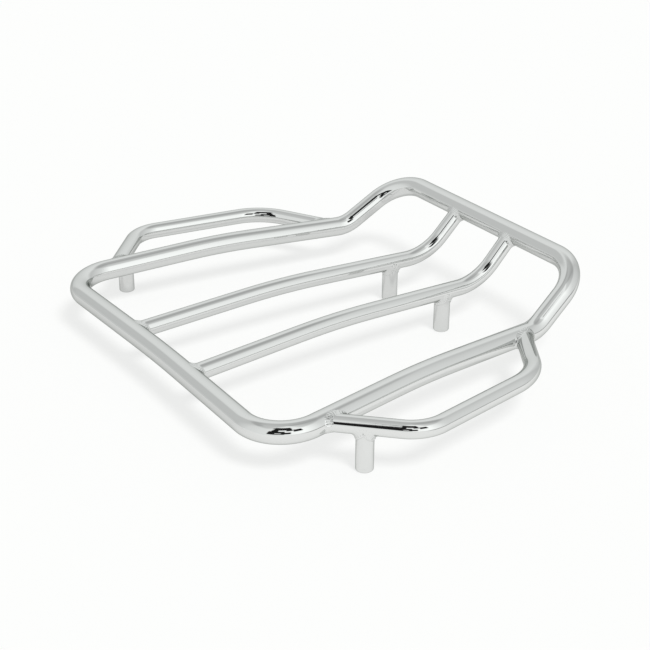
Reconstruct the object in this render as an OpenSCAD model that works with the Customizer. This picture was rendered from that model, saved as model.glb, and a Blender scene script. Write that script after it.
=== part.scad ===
// Motorcycle luggage rack: a welded, plated tube rack that stands on four tapped posts.
// +X runs from the wide front rail to the raised rear rail, +Z is up.
// -Y is the rider's left. The origin is the middle of the footprint on the plane of the feet.

/* [Tube stock] */
// Outside diameter of the hoop's tube
hoop_tube_diameter = 15.9; // [12:0.1:22]
// Wall of the hoop's tube
hoop_tube_wall = 1.6; // [1:0.1:3]
// Outside diameter of the tube used for the deck bars and the side wings
bar_tube_diameter = 12.7; // [9:0.1:15]
// Wall of the tube used for the deck bars and the side wings
bar_tube_wall = 1.5; // [1:0.1:2.5]

/* [Hoop] */
// Length of the deck, from the middle of the front corners to the middle of the rear rail
deck_length = 304; // [260:1:400]
// Half of the width at the front corners, to the middle of the tube
front_half_width = 153; // [120:1:190]
// How far the middle of the front rail bows in towards the deck
front_rail_bow = 3.9; // [1:0.1:12]
// Bend radius of the bow in the middle of the front rail
front_bow_bend_radius = 1150; // [400:10:1200]
// Bend radius of the two front corners
front_corner_radius = 31.5; // [26:0.5:45]
// Height of the middle of the front rail above the feet
deck_height = 30.7; // [26:0.1:60]
// Distance from the front rail to the top of the side rails' arch
arch_position = 134; // [110:1:150]
// Rise of the side rails' arch
arch_rise = 5.6; // [2:0.1:15]
// Bend radius at the top of the side rails' arch
arch_bend_radius = 600; // [300:10:700]
// Distance from the rear rail forward to the bend where the side rails kick up
kick_length = 52.8; // [45:0.1:70]
// Half of the width at the kick, to the middle of the tube
kick_half_width = 121.7; // [100:0.1:150]
// Bend radius of the side rails' kick
kick_bend_radius = 28; // [20:0.5:35]
// How far the rear rail stands above the front rail
kick_rise = 34.2; // [20:0.1:45]
// Half of the width at the rear corners, to the middle of the tube
rear_half_width = 113; // [95:0.1:140]
// Bend radius of the two rear corners
rear_corner_radius = 33; // [24:0.5:40]

/* [Deck bars] */
// Distance of a bar from the middle of the rack at the front rail
bar_front_offset = 40.9; // [34:0.1:60]
// Distance of a bar from the middle of the rack at the rear rail
bar_rear_offset = 31.9; // [25:0.1:60]
// Distance from the front rail to the top of the bars' arch
bar_arch_position = 131; // [105:1:150]
// Rise of the bars' arch
bar_arch_rise = 6.5; // [2:0.1:16]
// Bend radius at the top of the bars' arch
bar_arch_bend_radius = 670; // [300:10:700]
// Distance from the rear rail forward to the bend where the bars kick up
bar_kick_length = 34.4; // [30:0.1:45]
// Bend radius of the bars' kick
bar_kick_bend_radius = 46; // [25:0.5:48]

/* [Side wings] */
// Distance from the front rail to the wing's front root on the side rail
wing_front_root = 43.3; // [42:0.1:50]
// Length of the wing's front leg along the rack, from its root to the front bend
wing_front_leg_length = 46.7; // [40:0.1:60]
// How far the wing's front bend stands out from the side rail
wing_front_overhang = 56; // [46:0.1:70]
// Bend radius of the wing's front bend
wing_front_bend_radius = 29; // [20:0.5:32]
// Distance from the side rails' kick forward to the wing's rear root
wing_rear_root_setback = 13.2; // [11:0.1:30]
// Length of the wing's rear leg along the rack, from its root to the rear bend
wing_rear_leg_length = 37.1; // [34:0.1:50]
// How far the wing's rear bend stands out from the side rail
wing_rear_overhang = 51.2; // [44:0.1:65]
// Bend radius of the wing's rear bend
wing_rear_bend_radius = 50; // [25:0.5:52]
// How far the wings' outer runs stand above the front rail
wing_lift = 3.4; // [0:0.1:8]

/* [Posts] */
// Diameter of the four posts
post_diameter = 12.5; // [10:0.1:12.6]
// Radius on the edge of a post's foot
post_foot_rounding = 1.2; // [0.5:0.1:2]
// Bare length of the wing's front leg between its weld on the hoop and the weld of its post
front_post_gap = 2.3; // [1:0.1:8]
// Distance from the bars' kick forward to the posts under them
rear_post_setback = 35.8; // [28:0.1:60]
// Tapping size of the threaded hole in each post
post_hole_diameter = 5; // [4:0.1:7]
// Depth of the threaded hole, without its drill point
post_hole_depth = 14; // [8:0.5:16]
// Width of the countersink at the mouth of the threaded hole
post_hole_mouth_diameter = 6.6; // [5.5:0.1:9]

/* [Welds] */
// Leg of the welds on the hoop
hoop_weld_leg = 3.2; // [2:0.1:4]
// Leg of the welds on the posts
post_weld_leg = 2.2; // [1.5:0.1:3]
// How far a weld stands proud of a straight hollow fillet
weld_crown = 0.4; // [0.2:0.05:0.8]

/* [Vents] */
// Vent drilled through the hoop's wall inside each joint, as plated tube frames have
joint_vent_diameter = 5; // [3:0.5:7]
// Drain hole under the middle of the front rail and of the rear rail
drain_diameter = 4; // [2:0.5:6]

/* [Hidden] */
$fn = 72;

hoop_radius = hoop_tube_diameter / 2;
bar_radius = bar_tube_diameter / 2;
post_radius = post_diameter / 2;
hoop_bore_radius = hoop_radius - hoop_tube_wall;
bar_bore_radius = bar_radius - bar_tube_wall;

// A straight run laps this far into each bend, and the bend's tube is drawn this much thinner
bend_lap = 0.3;
bend_draw = 0.02;
// Cutters run past the face they open by this much
cut_past = 1;
// Angle of a twist drill's point
drill_point_angle = 118;
// The toes of a weld on the hoop sink this far below the tubes, and its root this far into
// the joint, before the tubes cut it to its seat
toe_sink = 0.25;
root_sink = 1.1;
// A weld on a post lies this far off the tubes at its corners, so that its facets clear them
weld_seat_gap = 0.1;
// Sections around a weld
weld_sections = 32;
// Facets around the tubes that cut a weld to its seat
seat_facets = 180;
// Facets along a full turn of a bend, the same for a tube and for what is cut to it
bend_facets = 180;

x_axis = [1, 0, 0];
z_axis = [0, 0, 1];

function unit(v) = v / norm(v);
function mirrored(p) = [p.x, -p.y, p.z];
function to_side(p, side) = [p.x, side * p.y, p.z];
function backwards(list) = [for (i = [len(list) - 1 : -1 : 0]) list[i]];
function wrap(list, i) = list[(i + len(list)) % len(list)];
// The two directions square to d, then d itself, as the columns of a placement at p
function across(d) = unit(cross(abs(d.z) < 0.9 ? z_axis : x_axis, d));
function placement(x, y, z, p) = [
    [x.x, y.x, z.x, p.x],
    [x.y, y.y, z.y, p.y],
    [x.z, y.z, z.z, p.z]
];
// Distance from a corner b to where its bend begins
function bend_reach(a, b, c, radius) = radius * tan(acos(unit(b - a) * unit(c - b)) / 2);

// Corners of the hoop's +Y half in the deck's own lengths, from the front to the rear
kick_position = deck_length - kick_length;
taper = (front_half_width - kick_half_width) / kick_position;
function rail_y(x) = front_half_width - taper * x;
function rail_z(x) = deck_height + (x < arch_position
    ? arch_rise * x / arch_position
    : arch_rise * (kick_position - x) / (kick_position - arch_position));
half_hoop = [
    [0, front_half_width, deck_height],
    [arch_position, rail_y(arch_position), rail_z(arch_position)],
    [kick_position, kick_half_width, deck_height],
    [deck_length, rear_half_width, deck_height + kick_rise]
];
half_radii = [front_corner_radius, arch_bend_radius, kick_bend_radius, rear_corner_radius];

// The footprint's middle: the bends at the front corners reach furthest forward
front_middle = [front_rail_bow, 0, deck_height];
front_way = unit(half_hoop[0] - front_middle);
front_axis = unit(cross(front_way, half_hoop[1] - half_hoop[0]));
front_turn = half_hoop[0]
    - front_way * bend_reach(front_middle, half_hoop[0], half_hoop[1], front_corner_radius)
    + cross(front_axis, front_way) * front_corner_radius;
front_end_x = front_turn.x - front_corner_radius * sqrt(1 - pow(front_axis.x, 2))
    - hoop_radius + bend_draw;
rear_end_x = deck_length + hoop_radius;
middle_x = (front_end_x + rear_end_x) / 2;
function placed(list) = [for (p = list) [p.x - middle_x, p.y, p.z]];

hoop_points = placed(concat(
    [front_middle],
    half_hoop,
    backwards([for (p = half_hoop) mirrored(p)])
));
hoop_radii = concat([front_bow_bend_radius], half_radii, backwards(half_radii));

// Deck bar on the +Y side
bar_kick_position = deck_length - bar_kick_length;
bar_drift = (bar_front_offset - bar_rear_offset) / deck_length;
function bar_y(x) = bar_front_offset - bar_drift * x;
bar_front_x = front_rail_bow * (1 - bar_front_offset / front_half_width);
bar_points = placed([
    [bar_front_x, bar_y(bar_front_x), deck_height],
    [bar_arch_position, bar_y(bar_arch_position), deck_height + bar_arch_rise],
    [bar_kick_position, bar_y(bar_kick_position), deck_height],
    [deck_length, bar_rear_offset, deck_height + kick_rise]
]);
bar_radii = [0, bar_arch_bend_radius, bar_kick_bend_radius, 0];

// Side wing on the +Y side
wing_height = deck_height + wing_lift;
wing_front_bend = wing_front_root + wing_front_leg_length;
wing_rear_root = kick_position - wing_rear_root_setback;
wing_rear_bend = wing_rear_root - wing_rear_leg_length;
wing_points = placed([
    [wing_front_root, rail_y(wing_front_root), rail_z(wing_front_root)],
    [wing_front_bend, rail_y(wing_front_bend) + wing_front_overhang, wing_height],
    [wing_rear_bend, rail_y(wing_rear_bend) + wing_rear_overhang, wing_height],
    [wing_rear_root, rail_y(wing_rear_root), rail_z(wing_rear_root)]
]);
wing_radii = [0, wing_front_bend_radius, wing_rear_bend_radius, 0];

// Where a front post meets the middle of its wing's leg: clear of the leg's weld on the hoop,
// whose corner reaches furthest in the sharper angle between the leg and the rail
wing_leg = wing_points[1] - wing_points[0];
wing_angle = acos(unit(wing_leg) * unit(half_hoop[1] - half_hoop[0]));
wing_corner_reach = hoop_radius / sin(wing_angle) + bar_radius / tan(wing_angle);
front_post_reach = wing_corner_reach + hoop_weld_leg + front_post_gap + post_weld_leg + post_radius;
front_post_top = wing_points[0] + unit(wing_leg) * front_post_reach;
// Where a rear post meets the middle of its bar
bar_run = bar_points[2] - bar_points[1];
rear_post_top = bar_points[2] - bar_run * rear_post_setback / bar_run.x;

// A round bar from a to b, run past its ends
module rod(a, b, radius, past_a, past_b) {
    d = unit(b - a);
    side = across(d);
    multmatrix(placement(side, cross(d, side), d, a))
        translate([0, 0, -past_a])
            cylinder(h = norm(b - a) + past_a + past_b, r = radius);
}

// The bend at corner b on the way from a to c
module elbow(a, b, c, bend_radius, radius) {
    u = unit(b - a);
    w = unit(c - b);
    axis = unit(cross(u, w));
    inward = cross(axis, u);
    start = b - u * bend_reach(a, b, c, bend_radius);
    multmatrix(placement(-inward, u, axis, start + inward * bend_radius))
        rotate_extrude(angle = acos(u * w), $fn = bend_facets)
            translate([bend_radius, 0])
                circle(r = radius);
}

// A bent bar that closes on itself
module closed_run(points, bends, radius) {
    last = len(points) - 1;
    for (i = [0 : last]) {
        a = points[i];
        b = wrap(points, i + 1);
        u = unit(b - a);
        reach_a = bend_reach(wrap(points, i - 1), a, b, bends[i]);
        reach_b = bend_reach(a, b, wrap(points, i + 2), wrap(bends, i + 1));
        rod(a + u * reach_a, b - u * reach_b, radius, bend_lap, bend_lap);
        elbow(wrap(points, i - 1), a, b, bends[i], radius - bend_draw);
    }
}

// A bent bar with two open ends, run past both by the same length
module open_run(points, bends, radius, past) {
    last = len(points) - 1;
    for (i = [0 : last - 1]) {
        a = points[i];
        b = points[i + 1];
        u = unit(b - a);
        reach_a = i == 0 ? 0 : bend_reach(points[i - 1], a, b, bends[i]);
        reach_b = i == last - 1 ? 0 : bend_reach(a, b, points[i + 2], bends[i + 1]);
        past_a = i == 0 ? past : bend_lap;
        past_b = i == last - 1 ? past : bend_lap;
        rod(a + u * reach_a, b - u * reach_b, radius, past_a, past_b);
        if (i > 0) {
            elbow(points[i - 1], a, b, bends[i], radius - bend_draw);
        }
    }
}

module hoop_solid() {
    closed_run(hoop_points, hoop_radii, hoop_radius);
}

module bar_solid(side) {
    open_run([for (p = bar_points) to_side(p, side)], bar_radii, bar_radius, 0);
}

module wing_solid(side) {
    open_run([for (p = wing_points) to_side(p, side)], wing_radii, bar_radius, 0);
}

// A vent from the middle of the hoop's tube out along a joining tube
module joint_vent(from, towards, side) {
    a = to_side(from, side);
    d = unit(to_side(towards, side) - a);
    rod(a, a + d * hoop_tube_diameter, joint_vent_diameter / 2, 0, 0);
}

module drain(p) {
    rod(p, p - z_axis * hoop_tube_diameter, drain_diameter / 2, 0, 0);
}

module hoop() {
    color("silver")
        difference() {
            hoop_solid();
            closed_run(hoop_points, hoop_radii, hoop_bore_radius);
            for (side = [-1, 1]) {
                joint_vent(bar_points[0], bar_points[1], side);
                joint_vent(bar_points[3], bar_points[2], side);
                joint_vent(wing_points[0], wing_points[1], side);
                joint_vent(wing_points[3], wing_points[2], side);
            }
            drain(hoop_points[0]);
            drain((hoop_points[4] + hoop_points[5]) / 2);
        }
}

module deck_bar(side) {
    color("gainsboro")
        difference() {
            bar_solid(side);
            open_run([for (p = bar_points) to_side(p, side)], bar_radii, bar_bore_radius, cut_past);
            hoop_solid();
        }
}

module side_wing(side) {
    color("lightgray")
        difference() {
            wing_solid(side);
            open_run([for (p = wing_points) to_side(p, side)], wing_radii, bar_bore_radius, cut_past);
            hoop_solid();
        }
}

// A turned post with a rounded foot, standing at the origin
module post_blank(height) {
    rotate_extrude()
        union() {
            square([post_radius - post_foot_rounding, height]);
            translate([0, post_foot_rounding])
                square([post_radius, height - post_foot_rounding]);
            intersection() {
                translate([post_radius - post_foot_rounding, post_foot_rounding])
                    circle(r = post_foot_rounding);
                square([post_radius + cut_past, height]);
            }
        }
}

// The drilled hole for the post's thread, opening at the foot
module post_hole() {
    r = post_hole_diameter / 2;
    mouth = post_hole_mouth_diameter / 2;
    point = r / tan(drill_point_angle / 2);
    translate([0, 0, -cut_past])
        cylinder(h = cut_past + post_hole_depth, r = r);
    translate([0, 0, post_hole_depth])
        cylinder(h = point, r1 = r, r2 = 0);
    translate([0, 0, -cut_past])
        cylinder(h = cut_past + mouth, r1 = mouth + cut_past, r2 = 0);
}

module front_post(side) {
    top = to_side(front_post_top, side);
    color("darkgray")
        difference() {
            translate([top.x, top.y, 0])
                post_blank(top.z);
            translate([top.x, top.y, 0])
                post_hole();
            wing_solid(side);
        }
}

module rear_post(side) {
    top = to_side(rear_post_top, side);
    color("darkgray")
        difference() {
            translate([top.x, top.y, 0])
                post_blank(top.z);
            translate([top.x, top.y, 0])
                post_hole();
            bar_solid(side);
        }
}

// Point p moved square to an axis until it lies at the given radius from it
function at_radius(p, base, d, radius) =
    let (along = base + d * ((p - base) * d))
    along + unit(p - along) * radius;

// A weld's outline where a joining tube leaves a main tube, at the given angle around it:
// the corner, the toe and the halfway point on each tube, and the direction that bisects them
function weld_outline(joint, d_main, r_main, d_join, r_join, leg, angle) =
    let (
        out_join = across(d_join) * cos(angle) + cross(d_join, across(d_join)) * sin(angle),
        m = out_join * r_join - d_main * (out_join * r_join * d_main),
        d = d_join - d_main * (d_join * d_main),
        half = (m * d) / (d * d),
        t = -half + sqrt(half * half - (m * m - r_main * r_main) / (d * d)),
        corner = joint + d_join * t + out_join * r_join,
        out_main = unit(m + d * t),
        along = unit(cross(out_main, out_join)),
        on_main = cross(along, out_main) * (cross(along, out_main) * out_join < 0 ? -1 : 1),
        on_join = cross(along, out_join) * (cross(along, out_join) * out_main < 0 ? -1 : 1)
    )
    [
        corner,
        at_radius(corner + on_main * leg, joint, d_main, r_main),
        at_radius(corner + on_main * leg / 2, joint, d_main, r_main),
        at_radius(corner + on_join * leg, joint, d_join, r_join),
        at_radius(corner + on_join * leg / 2, joint, d_join, r_join),
        unit(out_main + out_join)
    ];

// The weld's open face from one toe to the other: hollow, with a slight crown
function weld_face(o) = [
    for (s = [0.25, 0.5, 0.75])
        o[1] * pow(1 - s, 2) + o[0] * 2 * s * (1 - s) + o[3] * pow(s, 2)
            + o[5] * weld_crown * sin(180 * s)
];

// A closed ring through sections that all have the same number of points
module ring(sections) {
    count = len(sections);
    n = len(sections[0]);
    faces = [for (i = [0 : count - 1]) for (j = [0 : n - 1])
        let (
            a = i * n + j,
            b = i * n + (j + 1) % n,
            c = ((i + 1) % count) * n + j,
            d = ((i + 1) % count) * n + (j + 1) % n
        )
        each [[a, b, d], [a, d, c]]];
    polyhedron(points = [for (s = sections) for (p = s) p], faces = faces);
}

// A weld sunk into both tubes, to be cut to its seat
module sunk_weld(joint, d_main, r_main, d_join, r_join, leg) {
    ring([for (i = [0 : weld_sections - 1])
        let (o = weld_outline(joint, d_main, r_main, d_join, r_join, leg, 360 * (i + 0.5) / weld_sections))
        concat(
            [o[0] - o[5] * root_sink, at_radius(o[1], joint, d_main, r_main - toe_sink)],
            weld_face(o),
            [at_radius(o[3], joint, d_join, r_join - toe_sink)]
        )
    ]);
}

// A weld that lies on both tubes, clear of them by the seat gap at its corners
module laid_weld(joint, d_main, d_join, leg) {
    r_main = bar_radius + weld_seat_gap;
    r_join = post_radius + weld_seat_gap;
    ring([for (i = [0 : weld_sections - 1])
        let (o = weld_outline(joint, d_main, r_main, d_join, r_join, leg, 360 * (i + 0.5) / weld_sections))
        concat([o[0], o[2], o[1]], weld_face(o), [o[3], o[4]])
    ]);
}

// A weld between the hoop and the end of a tube that starts at list[first] towards list[next]
module hoop_weld(list, first, next, rail_from, rail_to, side) {
    joint = to_side(list[first], side);
    d_join = unit(to_side(list[next], side) - joint);
    d_main = unit(to_side(rail_to, side) - to_side(rail_from, side));
    sunk_weld(joint, d_main, hoop_radius, d_join, bar_radius, hoop_weld_leg);
}

module bar_front_weld(side) {
    color("whitesmoke")
        difference($fn = seat_facets) {
            hoop_weld(bar_points, 0, 1, hoop_points[0], hoop_points[1], side);
            hoop_solid();
            bar_solid(side);
        }
}

module bar_rear_weld(side) {
    color("whitesmoke")
        difference($fn = seat_facets) {
            hoop_weld(bar_points, 3, 2, hoop_points[4], hoop_points[5], side);
            hoop_solid();
            bar_solid(side);
        }
}

module wing_front_weld(side) {
    color("whitesmoke")
        difference($fn = seat_facets) {
            hoop_weld(wing_points, 0, 1, hoop_points[1], hoop_points[2], side);
            hoop_solid();
            wing_solid(side);
        }
}

module wing_rear_weld(side) {
    color("whitesmoke")
        difference($fn = seat_facets) {
            hoop_weld(wing_points, 3, 2, hoop_points[2], hoop_points[3], side);
            hoop_solid();
            wing_solid(side);
        }
}

module front_post_weld(side) {
    color("whitesmoke")
        laid_weld(to_side(front_post_top, side), unit(to_side(wing_leg, side)), -z_axis, post_weld_leg);
}

module rear_post_weld(side) {
    color("whitesmoke")
        laid_weld(to_side(rear_post_top, side), unit(to_side(bar_run, side)), -z_axis, post_weld_leg);
}

hoop();
deck_bar(-1);  // bar_left
deck_bar(1);  // bar_right
side_wing(-1);  // wing_left
side_wing(1);  // wing_right
front_post(-1);  // post_front_left
front_post(1);  // post_front_right
rear_post(-1);  // post_rear_left
rear_post(1);  // post_rear_right
bar_front_weld(-1);  // weld_bar_front_left
bar_front_weld(1);  // weld_bar_front_right
bar_rear_weld(-1);  // weld_bar_rear_left
bar_rear_weld(1);  // weld_bar_rear_right
wing_front_weld(-1);  // weld_wing_front_left
wing_front_weld(1);  // weld_wing_front_right
wing_rear_weld(-1);  // weld_wing_rear_left
wing_rear_weld(1);  // weld_wing_rear_right
front_post_weld(-1);  // weld_post_front_left
front_post_weld(1);  // weld_post_front_right
rear_post_weld(-1);  // weld_post_rear_left
rear_post_weld(1);  // weld_post_rear_right
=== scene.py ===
"""Motorcycle luggage rack: bright chromed tubes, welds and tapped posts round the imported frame."""

import math

import bpy
import numpy as np
from bpy.props import FloatProperty, FloatVectorProperty, IntProperty, PointerProperty, StringProperty
from bpy.types import Operator, Panel, PropertyGroup
from mathutils import Matrix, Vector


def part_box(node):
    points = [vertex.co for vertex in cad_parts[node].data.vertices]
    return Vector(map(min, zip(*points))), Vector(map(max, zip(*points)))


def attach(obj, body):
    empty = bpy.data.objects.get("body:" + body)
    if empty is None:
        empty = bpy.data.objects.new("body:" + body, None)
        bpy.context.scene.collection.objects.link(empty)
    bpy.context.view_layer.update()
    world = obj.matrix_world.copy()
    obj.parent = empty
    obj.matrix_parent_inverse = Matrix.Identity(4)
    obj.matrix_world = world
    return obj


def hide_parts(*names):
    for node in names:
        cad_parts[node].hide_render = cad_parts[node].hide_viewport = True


bl_info = {
    "name": "Motorcycle Luggage Rack",
    "version": (1, 0, 0),
    "blender": (4, 5, 0),
    "location": "View3D > Sidebar > Luggage Rack",
    "description": "Builds a chromed tube luggage rack round its packed frame",
    "category": "Object",
}

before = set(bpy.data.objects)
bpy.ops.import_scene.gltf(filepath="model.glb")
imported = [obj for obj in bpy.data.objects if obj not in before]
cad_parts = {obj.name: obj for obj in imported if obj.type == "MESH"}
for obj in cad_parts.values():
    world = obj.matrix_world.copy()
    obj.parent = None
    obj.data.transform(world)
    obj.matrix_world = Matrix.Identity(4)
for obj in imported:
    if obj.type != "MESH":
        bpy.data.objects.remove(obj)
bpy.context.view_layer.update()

SIDES = {"left": -1.0, "right": 1.0}
Z_AXIS = np.array([0.0, 0.0, 1.0])
HOOP_TUBE_RADIUS = 0.00795
# Height near the middles of the deck's tubes, from which the tube over a post is looked for.
DECK_MIDDLE = 0.033
# How far a post's head reaches into the tube that it carries.
COPE_DEPTH = 0.0002
# How far a weld's toes sink into the tubes, and how far its back lies inside their corner.
WELD_SEAT = 0.00004
WELD_TUCK = 0.00015
# Slow wander of a weld's toes: turns round the joint, and share of the leg.
WELD_WANDER = ((1, 0.05), (3, 0.04), (7, 0.03))


def cad_end(node, corner, axis):
    """One end of a CAD node along an axis, in metres."""
    return float(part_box(node)[corner][axis])


def to_linear(hex_colour):
    """An sRGB hex colour as a linear RGBA tuple."""
    values = [int(hex_colour[i : i + 2], 16) / 255.0 for i in (0, 2, 4)]
    return tuple(v / 12.92 if v <= 0.04045 else ((v + 0.055) / 1.055) ** 2.4 for v in values) + (1.0,)


def length(name, description, default):
    """A size in metres."""
    return FloatProperty(
        name=name, description=description, default=default, unit="LENGTH", subtype="DISTANCE", precision=5
    )


def turn_angle(name, description, degrees):
    """An angle, written in degrees and kept in radians."""
    return FloatProperty(name=name, description=description, default=math.radians(degrees), subtype="ANGLE")


def plain_number(name, description, default):
    """A strength or share without a unit."""
    return FloatProperty(name=name, description=description, default=default, min=0.0)


def whole_number(name, description, default, least):
    """A number of facets, rows or sections."""
    return IntProperty(name=name, description=description, default=default, min=least)


def position(name, description, default):
    """A point in the row's frame."""
    return FloatVectorProperty(
        name=name, description=description, default=default, subtype="XYZ", unit="LENGTH", precision=5
    )


def finish_colour(name, description, default):
    """A colour as six sRGB hex digits."""
    return StringProperty(name=name, description=f"{description}, sRGB hex", default=default)


class HoopSizes(PropertyGroup):
    tube_radius: length("Tube radius", "Outside radius of the hoop's tube", HOOP_TUBE_RADIUS)
    rear_x: length(
        "Rear rail", "Where the middle of the rear rail lies", cad_end("hoop", 1, 0) - HOOP_TUBE_RADIUS
    )
    deck_length: length("Deck length", "From the front corners to the rear rail", 0.304)
    front_half_width: length("Front half width", "Half width at the front corners", 0.153)
    front_bow: length("Front bow", "How far the front rail bows in", 0.0039)
    deck_height: length("Deck height", "Height of the front rail's middle", 0.0307)
    arch_position: length("Arch position", "From the front rail to the top of the side rails' arch", 0.134)
    arch_rise: length("Arch rise", "Rise of the side rails' arch", 0.0056)
    kick_length: length("Kick length", "From the rear rail forward to the kick", 0.0528)
    kick_half_width: length("Kick half width", "Half width at the kick", 0.1217)
    kick_rise: length("Kick rise", "How far the rear rail stands above the front one", 0.0342)
    rear_half_width: length("Rear half width", "Half width at the rear corners", 0.113)
    front_corner_radius: length("Front corner radius", "Bend radius of the front corners", 0.0315)
    rear_corner_radius: length("Rear corner radius", "Bend radius of the rear corners", 0.033)
    kick_radius: length("Kick radius", "Bend radius of the side rails' kick", 0.028)
    arch_radius: length("Arch radius", "Bend radius at the top of the side rails' arch", 0.6)
    bow_radius: length("Bow radius", "Bend radius in the middle of the front rail", 1.15)
    drain_radius: length("Drain radius", "Radius of the drain holes under the rails", 0.002)
    drain_rim: length("Drain rim", "Rounding on the rim of a drain hole", 0.0003)
    drain_depth: length("Drain depth", "How deep a drain hole is seen", 0.004)
    drain_patch: length("Drain patch", "Reach of the fine mesh round a drain hole", 0.006)
    drain_rows: whole_number("Drain rows", "Rows of fine mesh along a drain hole's patch", 12, 4)
    drain_columns: whole_number("Drain columns", "Facets of the tube across a drain hole's patch", 16, 4)


class BarSizes(PropertyGroup):
    tube_radius: length("Tube radius", "Outside radius of the bars and wings", 0.00635)
    front_offset: length("Front offset", "From the middle of the rack to a bar at the front", 0.0409)
    rear_offset: length("Rear offset", "From the middle of the rack to a bar at the rear", 0.0319)
    arch_position: length("Arch position", "From the front rail to the top of the bars' arch", 0.131)
    arch_rise: length("Arch rise", "Rise of the bars' arch", 0.0065)
    kick_length: length("Kick length", "From the rear rail forward to the bars' kick", 0.0344)
    kick_radius: length("Kick radius", "Bend radius of the bars' kick", 0.046)
    arch_radius: length("Arch radius", "Bend radius at the top of the bars' arch", 0.67)


class WingSizes(PropertyGroup):
    front_root: length("Front root", "From the front rail to the wing's front root", 0.0433)
    front_leg: length("Front leg", "Length of the front leg along the rack", 0.0467)
    front_overhang: length("Front overhang", "How far the front bend stands out", 0.056)
    front_radius: length("Front radius", "Bend radius of the front bend", 0.029)
    rear_setback: length("Rear setback", "From the side rails' kick to the rear root", 0.0132)
    rear_leg: length("Rear leg", "Length of the rear leg along the rack", 0.0371)
    rear_overhang: length("Rear overhang", "How far the rear bend stands out", 0.0512)
    rear_radius: length("Rear radius", "Bend radius of the rear bend", 0.05)
    lift: length("Lift", "How far the outer runs stand above the front rail", 0.0034)


class PostSizes(PropertyGroup):
    radius: length("Radius", "Radius of a post", 0.00625)
    foot_rounding: length("Foot rounding", "Radius on the edge of a foot", 0.0012)
    hole_radius: length("Hole radius", "Radius at the thread's crests", 0.0025)
    hole_depth: length("Hole depth", "Depth of the threaded hole", 0.014)
    mouth_radius: length("Mouth radius", "Radius of the hole's mouth", 0.0033)
    thread_pitch: length("Thread pitch", "Pitch of the thread", 0.001)
    thread_depth: length("Thread depth", "Depth of the thread from crest to root", 0.00054)
    drill_angle: turn_angle("Drill angle", "Angle between the drill's edge and its axis", 59.0)


class WeldSizes(PropertyGroup):
    hoop_leg: length("Leg on the hoop", "Leg of the welds on the hoop", 0.0032)
    post_leg: length("Leg on the posts", "Leg of the welds on the posts", 0.0034)
    hoop_rim: length("Rim on the hoop", "Step where a weld on the hoop ends on its tube", 0.00006)
    post_rim: length("Rim on the posts", "Step where a weld ends on its post", 0.0003)
    crown: length("Crown", "How far a weld stands proud of a hollow fillet", 0.0004)
    ripple: length("Ripple", "Height of the dressed weld's ripples", 0.00011)
    ripple_pitch: length("Ripple pitch", "Spacing of the weld's ripples", 0.0016)


class MeshDetail(PropertyGroup):
    tube_facets: whole_number("Facets round a tube", "Facets round a tube", 72, 24)
    bend_step: turn_angle("Bend step", "Turn between two rings of a bend", 2.0)
    straight_step: length("Straight step", "Longest stretch between two rings", 0.012)
    post_facets: whole_number("Facets round a post", "Facets round a post", 96, 24)
    thread_steps: whole_number("Thread steps", "Rings of a post's hole for each turn of its thread", 8, 4)
    weld_sections: whole_number("Sections round a weld", "Sections round a weld", 180, 48)
    weld_across: whole_number("Points across a weld", "Points from toe to toe of a weld", 21, 7)


class FinishColours(PropertyGroup):
    chrome: finish_colour("Chrome", "Colour of bright chrome plate", "E2E3E2")
    chrome_worn: finish_colour("Polished wear", "Colour of rubbed chrome", "D6D7D6")
    chrome_edge: finish_colour("Chrome edge", "Tint of chrome near grazing", "C6C8C6")
    floor: finish_colour("Floor", "Colour of the studio floor's card", "F7F7F6")
    floor_white: finish_colour("Floor white", "White of the floor where no shadow lies", "FEFFFE")
    table: finish_colour("Table", "Tint of the table past the card, in the chrome", "FDFFFE")
    tent: finish_colour("Tent", "Tint of the tent's cloth, in the chrome", "FDFFFE")
    backdrop: finish_colour("Backdrop", "White behind the floor", "FEFFFD")


class StageSizes(PropertyGroup):
    camera_place: position("Camera place", "Where the camera stands", (-0.58094, -0.8338, 0.51632))
    azimuth: turn_angle("Azimuth", "Camera azimuth", -34.58)
    elevation: turn_angle("Elevation", "Camera elevation", 26.397)
    roll: turn_angle("Roll", "Camera roll", 0.351)
    lens: plain_number("Lens", "Focal length on a 36 mm sensor, in mm", 81.26)
    lamp_place: position("Lamp place", "A point that the soft lamp shines from", (0.02, -0.78, 1.14))
    lamp_spread: turn_angle("Lamp spread", "Angle that the soft lamp fills, seen from the rack", 18.0)
    lamp_strength: plain_number("Lamp strength", "Strength of the soft lamp", 1.82)
    tent_strength: plain_number("Tent strength", "Strength of the tent's light on matt things", 0.56)
    backdrop_strength: plain_number("Backdrop strength", "Strength of the white behind the floor", 0.98)
    floor_reach: length("Floor reach", "From the middle of the floor to its edges", 4.0)
    floor_share: plain_number("Floor share", "Share of the floor's white that no shadow takes away", 0.7)


# Centrelines


def unit(v):
    """The direction of v."""
    return v / np.linalg.norm(v)


def across(d):
    """A direction square to d."""
    upright = abs(d[2]) > 0.9
    return unit(np.cross(np.array([1.0, 0.0, 0.0]) if upright else Z_AXIS, d))


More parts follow.
